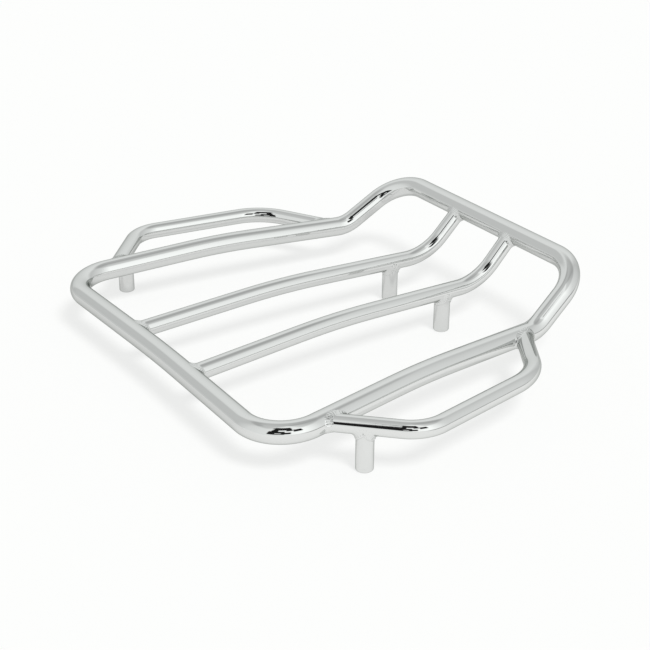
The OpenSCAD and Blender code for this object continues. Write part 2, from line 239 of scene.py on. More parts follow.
def bent_line(corners, radii, closed, bend_step, straight_step):
    """Points and headings along a line with rounded corners, close together in its bends."""
    corners = [np.asarray(c, float) for c in corners]
    count = len(corners)
    turns = []
    for i, corner in enumerate(corners):
        if not closed and i in (0, count - 1):
            turns.append((corner, corner, None))
            continue
        u = unit(corner - corners[i - 1])
        w = unit(corners[(i + 1) % count] - corner)
        angle = math.acos(max(-1.0, min(1.0, float(u @ w))))
        reach = radii[i] * math.tan(angle / 2)
        inward = unit(np.cross(np.cross(u, w), u))
        start = corner - u * reach
        turns.append((start, corner + w * reach, (u, inward, start + inward * radii[i], radii[i], angle)))
    points, headings = [], []
    for i in range(count if closed else count - 1):
        if turns[i][2] is not None:
            u, inward, centre, radius, angle = turns[i][2]
            steps = max(2, math.ceil(angle / bend_step), math.ceil(radius * angle / straight_step))
            for k in range(steps):
                a = angle * k / steps
                points.append(centre - inward * radius * math.cos(a) + u * radius * math.sin(a))
                headings.append(u * math.cos(a) + inward * math.sin(a))
        begin, end = turns[i][1], turns[(i + 1) % count][0]
        run = unit(end - begin)
        steps = max(1, math.ceil(np.linalg.norm(end - begin) / straight_step))
        for k in range(steps):
            points.append(begin + (end - begin) * k / steps)
            headings.append(run)
    if not closed:
        points.append(corners[-1])
        headings.append(unit(corners[-1] - corners[-2]))
    return np.array(points), np.array(headings)


def rail_width(sizes, x):
    """Half width of the side rails at x behind the front rail."""
    kick = sizes.deck_length - sizes.kick_length
    return sizes.front_half_width - (sizes.front_half_width - sizes.kick_half_width) * x / kick


def rail_height(sizes, x):
    """Height of the side rails' middle at x behind the front rail."""
    kick = sizes.deck_length - sizes.kick_length
    if x < sizes.arch_position:
        return sizes.deck_height + sizes.arch_rise * x / sizes.arch_position
    return sizes.deck_height + sizes.arch_rise * (kick - x) / (kick - sizes.arch_position)


def placed(sizes, corners):
    """Corners measured from the front rail, moved into the row's frame."""
    return [np.array([c[0] + sizes.rear_x - sizes.deck_length, c[1], c[2]]) for c in corners]


def hoop_bends(scene):
    """Corners of the hoop's middle, from the front rail's bow round to it again, and their bend radii."""
    sizes = scene.rack_hoop
    kick, arch = sizes.deck_length - sizes.kick_length, sizes.arch_position
    half = [
        (0.0, sizes.front_half_width, sizes.deck_height),
        (arch, rail_width(sizes, arch), rail_height(sizes, arch)),
        (kick, sizes.kick_half_width, sizes.deck_height),
        (sizes.deck_length, sizes.rear_half_width, sizes.deck_height + sizes.kick_rise),
    ]
    other = [(x, -y, z) for x, y, z in reversed(half)]
    radii = [sizes.front_corner_radius, sizes.arch_radius, sizes.kick_radius, sizes.rear_corner_radius]
    corners = placed(sizes, [(sizes.front_bow, 0.0, sizes.deck_height)] + half + other)
    return corners, [sizes.bow_radius] + radii + radii[::-1]


def bar_bends(scene, side):
    """Corners of a deck bar's middle, from the front rail's middle to the rear rail's, and their radii."""
    hoop, bar = scene.rack_hoop, scene.rack_bar
    kick = hoop.deck_length - bar.kick_length
    drift = (bar.front_offset - bar.rear_offset) / hoop.deck_length
    front = hoop.front_bow * (1 - bar.front_offset / hoop.front_half_width)
    rows = [
        (front, bar.front_offset - drift * front, hoop.deck_height),
        (bar.arch_position, bar.front_offset - drift * bar.arch_position, hoop.deck_height + bar.arch_rise),
        (kick, bar.front_offset - drift * kick, hoop.deck_height),
        (hoop.deck_length, bar.rear_offset, hoop.deck_height + hoop.kick_rise),
    ]
    radii = [0.0, bar.arch_radius, bar.kick_radius, 0.0]
    return placed(hoop, [(x, side * y, z) for x, y, z in rows]), radii


def wing_bends(scene, side):
    """Corners of a wing's middle, from the side rail's middle, round and back to it, and their radii."""
    hoop, wing = scene.rack_hoop, scene.rack_wing
    front_bend = wing.front_root + wing.front_leg
    rear_root = hoop.deck_length - hoop.kick_length - wing.rear_setback
    rear_bend = rear_root - wing.rear_leg
    height = hoop.deck_height + wing.lift
    rows = [
        (wing.front_root, rail_width(hoop, wing.front_root), rail_height(hoop, wing.front_root)),
        (front_bend, rail_width(hoop, front_bend) + wing.front_overhang, height),
        (rear_bend, rail_width(hoop, rear_bend) + wing.rear_overhang, height),
        (rear_root, rail_width(hoop, rear_root), rail_height(hoop, rear_root)),
    ]
    radii = [0.0, wing.front_radius, wing.rear_radius, 0.0]
    return placed(hoop, [(x, side * y, z) for x, y, z in rows]), radii


# Meshes


def make_piece(name, points, faces, normals=None):
    """A smooth mesh object in the row's frame, with its exact normals where they are known."""
    mesh = bpy.data.meshes.new(name)
    mesh.from_pydata([tuple(p) for p in points], [], faces)
    mesh.polygons.foreach_set("use_smooth", [True] * len(mesh.polygons))
    mesh.update()
    piece = bpy.data.objects.new(name, mesh)
    bpy.context.scene.collection.objects.link(piece)
    if normals is not None:
        mesh.normals_split_custom_set_from_vertices([tuple(n) for n in normals])
    return piece


def grid_faces(rows, columns, close_rows, close_columns):
    """Quads between the rows and columns of a grid of points."""
    faces = []
    for i in range(rows if close_rows else rows - 1):
        for j in range(columns if close_columns else columns - 1):
            a, b = i * columns + j, i * columns + (j + 1) % columns
            k = (i + 1) % rows
            faces.append((a, b, k * columns + (j + 1) % columns, k * columns + j))
    return faces


def facing(points, faces, way):
    """The same faces, all turned over if the first one looks away from a direction."""
    third = len(faces[0]) // 3
    a, b, c = (points[faces[0][i * third]] for i in range(3))
    if np.cross(b - a, c - a) @ way < 0:
        return [tuple(reversed(face)) for face in faces]
    return faces


def end_caps(rows, facets):
    """The two faces that close the ends of a grid of rings."""
    return [tuple(reversed(range(facets))), tuple(range((rows - 1) * facets, rows * facets))]


def swept_tube(points, headings, radius, facets, closed):
    """Points, normals and faces of a round tube drawn along a line without twist."""
    side = across(headings[0])
    frames = [side]
    for i in range(1, len(points)):
        side = unit(side - headings[i] * (side @ headings[i]))
        frames.append(side)
    twist = 0.0
    if closed:
        last = unit(frames[-1] - headings[0] * (frames[-1] @ headings[0]))
        twist = math.atan2(float(np.cross(last, frames[0]) @ headings[0]), float(last @ frames[0]))
    angles = np.arange(facets) * 2 * math.pi / facets
    verts, normals = [], []
    for i, (p, d) in enumerate(zip(points, headings)):
        x = frames[i]
        y = np.cross(d, x)
        turn = angles + twist * i / len(points)
        around = np.outer(np.cos(turn), x) + np.outer(np.sin(turn), y)
        verts.append(p + around * radius)
        normals.append(around)
    faces = grid_faces(len(points), facets, closed, True)
    if not closed:
        faces += end_caps(len(points), facets)
    return np.concatenate(verts), np.concatenate(normals), faces


def ringed_near(points, headings, spot, reach, count):
    """A closed centreline with evenly spaced rings close to a spot, one of them at the spot."""
    ends = np.vstack([points, points[:1]])
    travel = np.concatenate([[0.0], np.cumsum(np.linalg.norm(np.diff(ends, axis=0), axis=1))])
    i = int(np.argmin(((points - spot) ** 2).sum(1)))
    here = travel[i] + float((spot - points[i]) @ headings[i])
    clear = 1.05 * reach
    kept = travel[:-1][abs(travel[:-1] - here) > clear]
    places = np.sort(np.concatenate([kept, here + np.linspace(-reach, reach, count)]))
    turns = np.vstack([headings, headings[:1]])
    new_points = np.column_stack([np.interp(places, travel, ends[:, k]) for k in range(3)])
    new_headings = np.column_stack([np.interp(places, travel, turns[:, k]) for k in range(3)])
    return new_points, new_headings / np.linalg.norm(new_headings, axis=1)[:, None]


def drill_drain(skin, line, middle, facets, sizes):
    """Cuts a drain hole with a softened rim into the underside of the hoop's skin, at one of its rings."""
    verts, normals, faces = skin
    centre, heading = line[0][middle], line[1][middle]
    down = unit(heading * (Z_AXIS @ heading) - Z_AXIS)
    side = np.cross(heading, down)
    half_rows, half_columns = sizes.drain_rows // 2, sizes.drain_columns // 2
    ring = verts[middle * facets : (middle + 1) * facets]
    lowest = int(np.argmax((ring - centre) @ down))
    rows = range(middle - half_rows, middle + half_rows)
    columns = [(lowest + k) % facets for k in range(-half_columns, half_columns)]
    gone = {row * facets + column for row in rows for column in columns}
    faces = [face for face in faces if face[0] not in gone]

    def grid_point(row, column):
        return (middle + row) * facets + (lowest + column) % facets

    border = [grid_point(-half_rows, k) for k in range(-half_columns, half_columns)]
    border += [grid_point(k, half_columns) for k in range(-half_rows, half_rows)]
    border += [grid_point(half_rows, -k) for k in range(-half_columns, half_columns)]
    border += [grid_point(-k, -half_columns) for k in range(-half_rows, half_rows)]
    away = verts[border] - centre
    flat = np.column_stack([away @ heading, away @ side])
    round_way = flat / np.linalg.norm(flat, axis=1)[:, None]
    inward = -(round_way[:, :1] * heading + round_way[:, 1:] * side)
    mouth = sizes.drain_radius + sizes.drain_rim
    loops, loop_normals = [], []

    def add_loop(spread, depth, lean):
        """One loop of points on the skin, sunk by a depth, with normals that lean into the hole."""
        out = spread[:, 1:] * side + np.sqrt(sizes.tube_radius**2 - spread[:, 1:] ** 2) * down
        loops.append(centre + spread[:, :1] * heading + out - down * depth)
        loop_normals.append(out / sizes.tube_radius * math.cos(lean) + inward * math.sin(lean))

    # From the patch's square border to the round mouth, then round the rim and down the hole.
    for square_share in (0.55, 0.25, 0.08, 0.0):
        add_loop(round_way * mouth * (1 - square_share) + flat * square_share, 0.0, 0.0)
    rim_steps = 4
    for k in range(1, rim_steps + 1):
        lean = math.pi / 2 * k / rim_steps
        spread = round_way * (mouth - sizes.drain_rim * math.sin(lean))
        add_loop(spread, sizes.drain_rim * (1 - math.cos(lean)), lean)
    add_loop(round_way * sizes.drain_radius, sizes.drain_depth, math.pi / 2)
    add_loop(round_way * sizes.drain_radius, sizes.drain_depth, 0.0)
    # The border's own points come first, and the last loop is closed by the hole's bottom.
    count, start = len(border), len(verts)
    numbers = border + list(range(start, start + count * len(loops)))
    sides = [tuple(numbers[i] for i in face) for face in grid_faces(len(loops), count, False, True)]
    bottom = [tuple(numbers[-count:])]
    verts = np.concatenate([verts, *loops])
    faces += facing(verts, sides, down) + facing(verts, bottom, down)
    return verts, np.concatenate([normals, *loop_normals]), faces


def near_line(line, p):
    """The nearest point of a centreline to p."""
    points, headings = line
    steps = p - points
    i = int(np.argmin((steps * steps).sum(1)))
    return points[i] + headings[i] * float(steps[i] @ headings[i])


def on_tube(line, p, radius):
    """p moved square to a centreline until it lies on the tube, and the outward direction there."""
    middle = near_line(line, p)
    out = unit(p - middle)
    return middle + out * radius, out


def last_true(low, high, test):
    """The last place between low and high at which a test still holds, found by halving."""
    for _ in range(40):
        half = (low + high) / 2
        if test(half):
            low = half
        else:
            high = half
    return low


def leave_point(line, radius, start, way):
    """Where a straight line from inside a tube comes out of it."""

    def inside(step):
        p = start + way * step
        return np.linalg.norm(p - near_line(line, p)) < radius

    return start + way * last_true(0.0, radius * 4, inside)


def square_to(along, out, towards):
    """The direction square to both along and out that points towards another one."""
    way = np.cross(along, out)
    return way if way @ towards > 0 else -way


def weld_ring(line, main_radius, joint, way, join_radius, leg, rim, sizes, detail, seed):
    """Points and faces of a dressed fillet weld round a joining tube, with soft ripples along it."""
    rng = np.random.default_rng(seed)
    *wander_phases, ripple_phase = rng.uniform(0, 2 * math.pi, len(WELD_WANDER) + 1)
    x, y = across(way), np.cross(way, across(way))
    ripples = round(2 * math.pi * (join_radius + leg / 2) / sizes.ripple_pitch)
    # The ripples bow forward in the middle of the weld, and a low bead runs beside the outer toe.
    ripple_bow, bead_place, bead_width = 2.2, 0.84, 0.1
    search_depth = 0.004
    points = []
    for i in range(detail.weld_sections):
        a = 2 * math.pi * i / detail.weld_sections
        out_join = x * math.cos(a) + y * math.sin(a)
        start = joint + out_join * join_radius - way * search_depth
        corner = leave_point(line, main_radius, start, way)
        _, out_main = on_tube(line, corner, main_radius)
        along = unit(np.cross(out_main, out_join))
        on_main = square_to(along, out_main, out_join)
        on_join = square_to(along, out_join, out_main)
        wander = sum(
            share * math.sin(turns * a + phase) for (turns, share), phase in zip(WELD_WANDER, wander_phases)
        )
        toe_main, _ = on_tube(line, corner + on_main * leg * (1 + wander), main_radius - WELD_SEAT)
        toe_join = corner + on_join * leg * (1 - wander)
        middle = joint + way * ((toe_join - joint) @ way)
        out_toe = unit(toe_join - middle)
        toe_join = middle + out_toe * (join_radius + rim - WELD_SEAT)
        lift = unit(out_main + out_join)
        for k in range(detail.weld_across):
            s = k / (detail.weld_across - 1)
            p = toe_main * (1 - s) ** 2 + corner * 2 * s * (1 - s) + toe_join * s**2
            bead = math.sin(math.pi * s)
            wash = math.sin(ripples * a + ripple_bow * bead + ripple_phase)
            swell = sizes.crown * bead**1.5 + sizes.ripple * bead * wash
            toe_bead = rim * math.exp(-(((s - bead_place) / bead_width) ** 2)) * (1 + 0.5 * wash)
            points.append(p + lift * swell + out_toe * toe_bead)
        # The rim rolls over and goes into the joining tube.
        points.append(toe_join + way * rim * 0.9 - out_toe * rim * 0.45)
        points.append(toe_join + way * rim * 1.1 - out_toe * (rim + 2 * WELD_SEAT))
        # Inside the tubes the ring is closed by way of the corner between them.
        points.append(corner - lift * WELD_TUCK)
    columns = len(points) // detail.weld_sections
    return np.array(points), grid_faces(detail.weld_sections, columns, True, True)


# Materials


def add_node(tree, kind, sockets=(), **settings):
    """One shader node with its settings; a socket takes a value, an output or a node's first output."""
    node = tree.nodes.new(kind)
    for key, value in settings.items():
        setattr(node, key, value)
    for key, value in dict(sockets).items():
        if isinstance(value, bpy.types.Node):
            value = value.outputs[0]
        if isinstance(value, bpy.types.NodeSocket):
            tree.links.new(value, node.inputs[key])
        else:
            node.inputs[key].default_value = value
    return node


def new_material(name):
    """An empty material and its node tree."""
    material = bpy.data.materials.new(name)
    material.use_nodes = True
    material.node_tree.nodes.clear()
    return material, material.node_tree


def bright_chrome(name, colours, wave_mm, wave_depth, haze, wear):
    """Chrome plate on polished steel: a cold, near-white mirror with a faint lie of the buffing."""
    material, tree = new_material(name)
    place = add_node(tree, "ShaderNodeTexCoord").outputs["Object"]
    # Buffing leaves long soft waves a few millimetres apart, which bend the edges of reflections. The grain
    # of the polish is drawn coarser than the real grit so that it shows, and handling haze lies in patches.
    grain_mm, haze_mm = 1 / 3, 25.0
    waves, grain, patches = (
        add_node(
            tree,
            "ShaderNodeTexNoise",
            {"Vector": place, "Scale": 1000.0 / mm, "Detail": detail, "Roughness": roughness},
        )
        for mm, detail, roughness in ((wave_mm, 2.0, 0.45), (grain_mm, 3.0, 0.6), (haze_mm, 4.0, 0.6))
    )
    haze_level = add_node(
        tree,
        "ShaderNodeMapRange",
        {"Value": patches, "From Min": 0.35, "From Max": 0.75, "To Min": haze * 0.5, "To Max": haze * 1.7},
    )
    grain_level = add_node(
        tree,
        "ShaderNodeMapRange",
        {"Value": grain, "From Min": 0.3, "From Max": 0.7, "To Min": -haze * 0.25, "To Max": haze * 0.25},
    )
    roughness = add_node(
        tree, "ShaderNodeMath", {0: haze_level, 1: grain_level}, operation="ADD", use_clamp=True
    )
    # Edges and high spots are rubbed a little darker by handling.
    edge = add_node(tree, "ShaderNodeNewGeometry").outputs["Pointiness"]
    edge_level = add_node(
        tree, "ShaderNodeMapRange", {"Value": edge, "From Min": 0.5, "From Max": 0.6, "To Max": wear}
    )
    worn = add_node(
        tree, "ShaderNodeMath", {0: edge_level, 1: patches}, operation="MULTIPLY", use_clamp=True
    )
    colour = add_node(
        tree,
        "ShaderNodeMix",
        {"Factor": worn, 6: to_linear(colours.chrome), 7: to_linear(colours.chrome_worn)},
        data_type="RGBA",
    )
    bump = add_node(tree, "ShaderNodeBump", {"Height": waves, "Strength": 1.0, "Distance": wave_depth})
    # Chrome reflects least just short of grazing, which draws the thin grey edge along every tube.
    shader = add_node(
        tree,
        "ShaderNodeBsdfPrincipled",
        {
            "Base Color": colour.outputs[2],
            "Metallic": 1.0,
            "Roughness": roughness,
            "Specular Tint": to_linear(colours.chrome_edge),
            "Normal": bump,
        },
    )
    add_node(tree, "ShaderNodeOutputMaterial", {"Surface": shader})
    return material


def finish_for(name):
    """The chrome of that name, made on first use."""
    if name in bpy.data.materials:
        return bpy.data.materials[name]
    colours = bpy.context.scene.rack_colours
    if name == "chromed_tube":
        # Buffed before plating: reflections stay sharp, with edges that wander very slightly.
        return bright_chrome(name, colours, wave_mm=6.0, wave_depth=0.000012, haze=0.045, wear=0.4)
    if name == "chromed_post":
        # Turned, then plated: a shade less even than the tube.
        return bright_chrome(name, colours, wave_mm=4.0, wave_depth=0.000016, haze=0.07, wear=0.7)
    # Dressed weld under chrome: the bead still moves the reflections about.
    return bright_chrome("chromed_weld", colours, wave_mm=1.6, wave_depth=0.00018, haze=0.09, wear=0.6)


def fit_out(piece, material, slot, *nodes):
    """Gives a piece its finish and its CAD body, and hides the CAD nodes that it stands for."""
    piece.data.materials.append(finish_for(material))
    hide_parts(*nodes)
    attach(piece, "root")


# Operators for the pieces


def bent_tube(corners, radii, closed):
    """A centreline with as many rings as a tube's mesh needs."""
    detail = bpy.context.scene.rack_detail
    return bent_line(corners, radii, closed, detail.bend_step, detail.straight_step)


def fine_line(corners, radii, closed):
    """A centreline close enough together for welds to be laid on it."""
    return bent_line(corners, radii, closed, bend_step=math.radians(0.5), straight_step=0.001)


def open_tube(scene, name, bends, slot, node):
    """One bent tube with closed ends, in place of its CAD node."""
    points, headings = bent_tube(*bends, False)
    facets = scene.rack_detail.tube_facets
    verts, normals, faces = swept_tube(points, headings, scene.rack_bar.tube_radius, facets, False)
    fit_out(make_piece(name, verts, faces, normals), "chromed_tube", slot, node)


class RACK_OT_hoop(Operator):
    """Build the closed hoop round the deck, with its two drain holes"""

    bl_idname = "rack.hoop"
    bl_label = "Hoop"

    def execute(self, context):
        sizes, facets = context.scene.rack_hoop, context.scene.rack_detail.tube_facets
        points, headings = bent_tube(*hoop_bends(context.scene), True)
        front_middle = (sizes.front_bow, 0.0, sizes.deck_height)
        rear_middle = (sizes.deck_length, 0.0, sizes.deck_height + sizes.kick_rise)
        drains = placed(sizes, [front_middle, rear_middle])
        for spot in drains:
            points, headings = ringed_near(points, headings, spot, sizes.drain_patch, sizes.drain_rows + 1)
        skin = swept_tube(points, headings, sizes.tube_radius, facets, True)
        for spot in drains:
            middle = int(np.argmin(((points - spot) ** 2).sum(1)))
            skin = drill_drain(skin, (points, headings), middle, facets, sizes)
        verts, normals, faces = skin
        piece = make_piece("hoop_tube", verts, faces, normals)
        fit_out(piece, "chromed_tube", "hoop_tube", "hoop")
        return {"FINISHED"}


class RACK_OT_bars(Operator):
    """Build the two arched deck bars"""

    bl_idname = "rack.bars"
    bl_label = "Deck bars"

    def execute(self, context):
        for side_name, side in SIDES.items():
            bends = bar_bends(context.scene, side)
            open_tube(context.scene, f"deck_bar_{side_name}", bends, "bar_tube", f"bar_{side_name}")
        return {"FINISHED"}


class RACK_OT_wings(Operator):
    """Build the two looped side wings"""

    bl_idname = "rack.wings"
    bl_label = "Side wings"

    def execute(self, context):
        for side_name, side in SIDES.items():
            bends = wing_bends(context.scene, side)
            open_tube(context.scene, f"side_wing_{side_name}", bends, "wing_tube", f"wing_{side_name}")
        return {"FINISHED"}


def post_carriers(scene, side):
    """The centreline of the tube that each post on one side carries: the wing, and the bar."""
    return {
        "front": fine_line(*wing_bends(scene, side), False),
        "rear": fine_line(*bar_bends(scene, side), False),
    }


def post_middle(node):
    """Where a post stands, from its CAD node."""
    low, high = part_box(node)
    return (low[0] + high[0]) / 2, (low[1] + high[1]) / 2


def turned_post(sizes, detail, x, y, line, tube_radius):
    """A post with a coped head, a rounded foot and a threaded hole that opens at the foot."""
    facets = detail.post_facets
    turn = np.arange(facets) * 2 * math.pi / facets
    rows = []

    def ring(radius, height):
        """One level ring of points round the post's axis."""
        rows.append([(x + radius * math.cos(t), y + radius * math.sin(t), height) for t in turn])

    def head_height(edge):
        """How high one edge of the post goes before it is a little way inside its tube."""

        def below(height):
            p = edge + Z_AXIS * height
            return np.linalg.norm(p - near_line(line, p)) > tube_radius - COPE_DEPTH

        lowest_head = 0.01
        return last_true(lowest_head, near_line(line, edge + Z_AXIS * DECK_MIDDLE)[2], below)

    head = []
    for t in turn:
        edge = np.array([x + sizes.radius * math.cos(t), y + sizes.radius * math.sin(t), 0.0])
        head.append((edge[0], edge[1], head_height(edge)))
    rows.append(head)
    shaft = min(p[2] for p in head) - sizes.foot_rounding
    for share in (0.9, 0.6, 0.3):
        ring(sizes.radius, sizes.foot_rounding + shaft * share)
    foot_steps = 8
    for i in range(foot_steps + 1):
        a = i * math.pi / 2 / foot_steps
        in_step = sizes.foot_rounding * (1 - math.cos(a))
        ring(sizes.radius - in_step, sizes.foot_rounding * (1 - math.sin(a)))
    # The mouth has a broken edge, then a countersink at 45 degrees down to the thread.
    edge_width, edge_height = 0.00015, 0.0001
    ring(sizes.mouth_radius + edge_width, 0.0)
    ring(sizes.mouth_radius, edge_height)
    cone_end = sizes.mouth_radius - sizes.hole_radius
    ring(sizes.hole_radius, cone_end)
    # The thread deepens over its first turn.
    count = int((sizes.hole_depth - cone_end) / sizes.thread_pitch * detail.thread_steps)
    for i in range(1, count):
        height = cone_end + (sizes.hole_depth - cone_end) * i / count
        fade = min(1.0, i / detail.thread_steps)
        row = []
        for t in turn:
            phase = height / sizes.thread_pitch - t / (2 * math.pi)
            groove = abs((phase % 1.0) * 2 - 1)
            r = sizes.hole_radius + sizes.thread_depth * fade * groove
            row.append((x + r * math.cos(t), y + r * math.sin(t), height))
        rows.append(row)
    ring(sizes.hole_radius, sizes.hole_depth)
    drill_tip = 0.00002
    ring(drill_tip, sizes.hole_depth + sizes.hole_radius / math.tan(sizes.drill_angle))
    faces = grid_faces(len(rows), facets, False, True) + end_caps(len(rows), facets)
    return np.array([p for row in rows for p in row]), faces


class RACK_OT_posts(Operator):
    """Build the four turned posts with their threaded holes"""

    bl_idname = "rack.posts"
    bl_label = "Posts"

    def execute(self, context):
        scene = context.scene
        for side_name, side in SIDES.items():
            for end, line in post_carriers(scene, side).items():
                node = f"post_{end}_{side_name}"
                x, y = post_middle(node)
                verts, faces = turned_post(
                    scene.rack_post, scene.rack_detail, x, y, line, scene.rack_bar.tube_radius
                )
                piece = make_piece(f"turned_{node}", verts, faces)
                piece.data.flip_normals()
                piece.data.set_sharp_from_angle(angle=math.radians(35))
                fit_out(piece, "chromed_post", "post", node)
        return {"FINISHED"}


class RACK_OT_welds(Operator):
    """Lay the dressed fillet welds at every joint"""

    bl_idname = "rack.welds"
    bl_label = "Welds"

    def execute(self, context):
        scene = context.scene
        weld, post_radius = scene.rack_weld, scene.rack_post.radius
        hoop_radius, bar_radius = scene.rack_hoop.tube_radius, scene.rack_bar.tube_radius
        hoop_line = fine_line(*hoop_bends(scene), True)
        seed = 11
        for side_name, side in SIDES.items():
            bar, wing = bar_bends(scene, side)[0], wing_bends(scene, side)[0]
            # Where each tube ends on the hoop's middle line, and the corner that it runs towards.
            joints = {
                f"weld_bar_front_{side_name}": (bar[0], bar[1]),
                f"weld_bar_rear_{side_name}": (bar[3], bar[2]),
                f"weld_wing_front_{side_name}": (wing[0], wing[1]),
                f"weld_wing_rear_{side_name}": (wing[3], wing[2]),
            }
            for node, (joint, towards) in joints.items():
                seed += 1
                main, joining = (hoop_line, hoop_radius), (unit(towards - joint), bar_radius)
                self.lay(scene, node, main, joint, joining, weld.hoop_leg, weld.hoop_rim, seed)
            for end, line in post_carriers(scene, side).items():
                seed += 1
                x, y = post_middle(f"post_{end}_{side_name}")
                joint = np.array([x, y, near_line(line, np.array([x, y, DECK_MIDDLE]))[2]])
                main, joining = (line, bar_radius), (-Z_AXIS, post_radius)
                node = f"weld_post_{end}_{side_name}"
                self.lay(scene, node, main, joint, joining, weld.post_leg, weld.post_rim, seed)
        return {"FINISHED"}

    def lay(self, scene, node, main, joint, joining, leg, rim, seed):
        """One weld, where a tube of some direction and radius joins a main one of some line and radius."""
        sizes, detail = scene.rack_weld, scene.rack_detail
        verts, faces = weld_ring(*main, joint, *joining, leg, rim, sizes, detail, seed)
        faces = facing(verts, faces, verts[faces[0][0]] - joint)
        piece = make_piece(f"dressed_{node}", verts, faces)
        piece.data.set_sharp_from_angle(angle=math.radians(110))
        fit_out(piece, "chromed_weld", "weld", node)


# Stage

# Brightness round the rack, as stops of an azimuth in degrees and a level. Left, right, front and back are
# as the camera sees them. The tent's walls run from a seam at the back right round to it.
TENT_WALLS = (
    (-180, 0.9), (-170, 0.86), (-162, 0.66), (-130, 0.66), (-105, 0.86), (-65, 0.95),
    (5, 1.3), (22, 1.1), (45, 0.86), (96, 0.67), (116, 0.93), (180, 0.9),
)
# The roof is greyer, darkest over the back right and light over the opening.
TENT_ROOF = (
    (-180, 0.6), (-110, 0.66), (-85, 0.68), (-65, 0.92), (0, 1.05),
    (13, 0.8), (45, 0.66), (90, 0.46), (150, 0.58), (180, 0.6),
)
# Glow levels of the painted table past the floor's card, seen only in the chrome: a painted reflection,
# dark at the front right.
PAINTED_TABLE_GLOW = ((-180, 0.7), (-125, 0.7), (-112, 0.95), (-6, 0.95), (6, 0.3), (50, 0.3), (66, 0.7), (180, 0.7))
DARK = 0.015
# Patches in degrees: left, right, low, high, softness of the edge, brightness.
TENT_PATCHES = (
    # The wall is greyer where it meets the table, but for the front left.
    (-180, 180, -4, 3, 2, 0.75), (-112, -2, -4, 3, 2, 0.95),
    # A fold in the roof at the back left.
    (-180, -112, 57, 67, 3, 0.5),
    # Dark things that stand in the tent's opening, with light between them.
    (-70, -16, 60, 72, 1.5, DARK), (-62, -47, 36, 62, 1.5, DARK), (-48, -16, 49, 62, 1.5, DARK),
    (-15, 4, 30, 50, 1.5, DARK), (-66, -33, 9, 38, 1.5, DARK), (-52, -40, 16, 22, 1.5, 0.8),
    (-30, -16, 40, 50, 1.5, DARK), (-37, -21, 12, 28, 1.5, DARK),
)


def by_azimuth(tree, azimuth, levels):
    """A brightness that changes with the azimuth, straight between its stops."""
    brightest = max(level for _, level in levels)
    whole_turn = {"Value": azimuth, "From Min": -math.pi, "From Max": math.pi}
    turn = add_node(tree, "ShaderNodeMapRange", whole_turn)
    ramp = add_node(tree, "ShaderNodeValToRGB", {"Fac": turn})
    stops = ramp.color_ramp.elements
    stops.remove(stops[1])
    for i, (degrees, level) in enumerate(levels):
        stop = stops[0] if i == 0 else stops.new((degrees + 180) / 360)
        stop.position = (degrees + 180) / 360
        stop.color = (level / brightest, level / brightest, level / brightest, 1.0)
    return add_node(tree, "ShaderNodeMath", {0: ramp, 1: brightest}, operation="MULTIPLY")


def azimuth_of(tree, place):
    """The angle round the rack, counted from the rider's left towards the rear, and the height."""
    parts = add_node(tree, "ShaderNodeSeparateXYZ", {"Vector": place}).outputs
    left = add_node(tree, "ShaderNodeMath", {0: parts["Y"], 1: -1.0}, operation="MULTIPLY")
    return add_node(tree, "ShaderNodeMath", {0: parts["X"], 1: left}, operation="ARCTAN2"), parts["Z"]


def tent_patch(tree, azimuth, height, left, right, low, high, soft):
    """A mask that is 1 inside a soft-edged patch of the tent, given in degrees."""
    masks = []
    for way, start, end in ((azimuth, left, right), (height, low, high)):
        middle = math.radians((start + end) / 2)
        off = add_node(tree, "ShaderNodeMath", {0: way, 1: middle}, operation="SUBTRACT")
        far = add_node(tree, "ShaderNodeMath", {0: off}, operation="ABSOLUTE")
        inner, outer = (math.radians((end - start) / 2 + step) for step in (-soft, soft))
        mask = add_node(
            tree,
            "ShaderNodeMapRange",
            {"Value": far, "From Min": inner, "From Max": outer, "To Min": 1.0, "To Max": 0.0},
            interpolation_type="SMOOTHSTEP",
        )
        masks.append(mask)
    return add_node(tree, "ShaderNodeMath", {0: masks[0], 1: masks[1]}, operation="MULTIPLY")


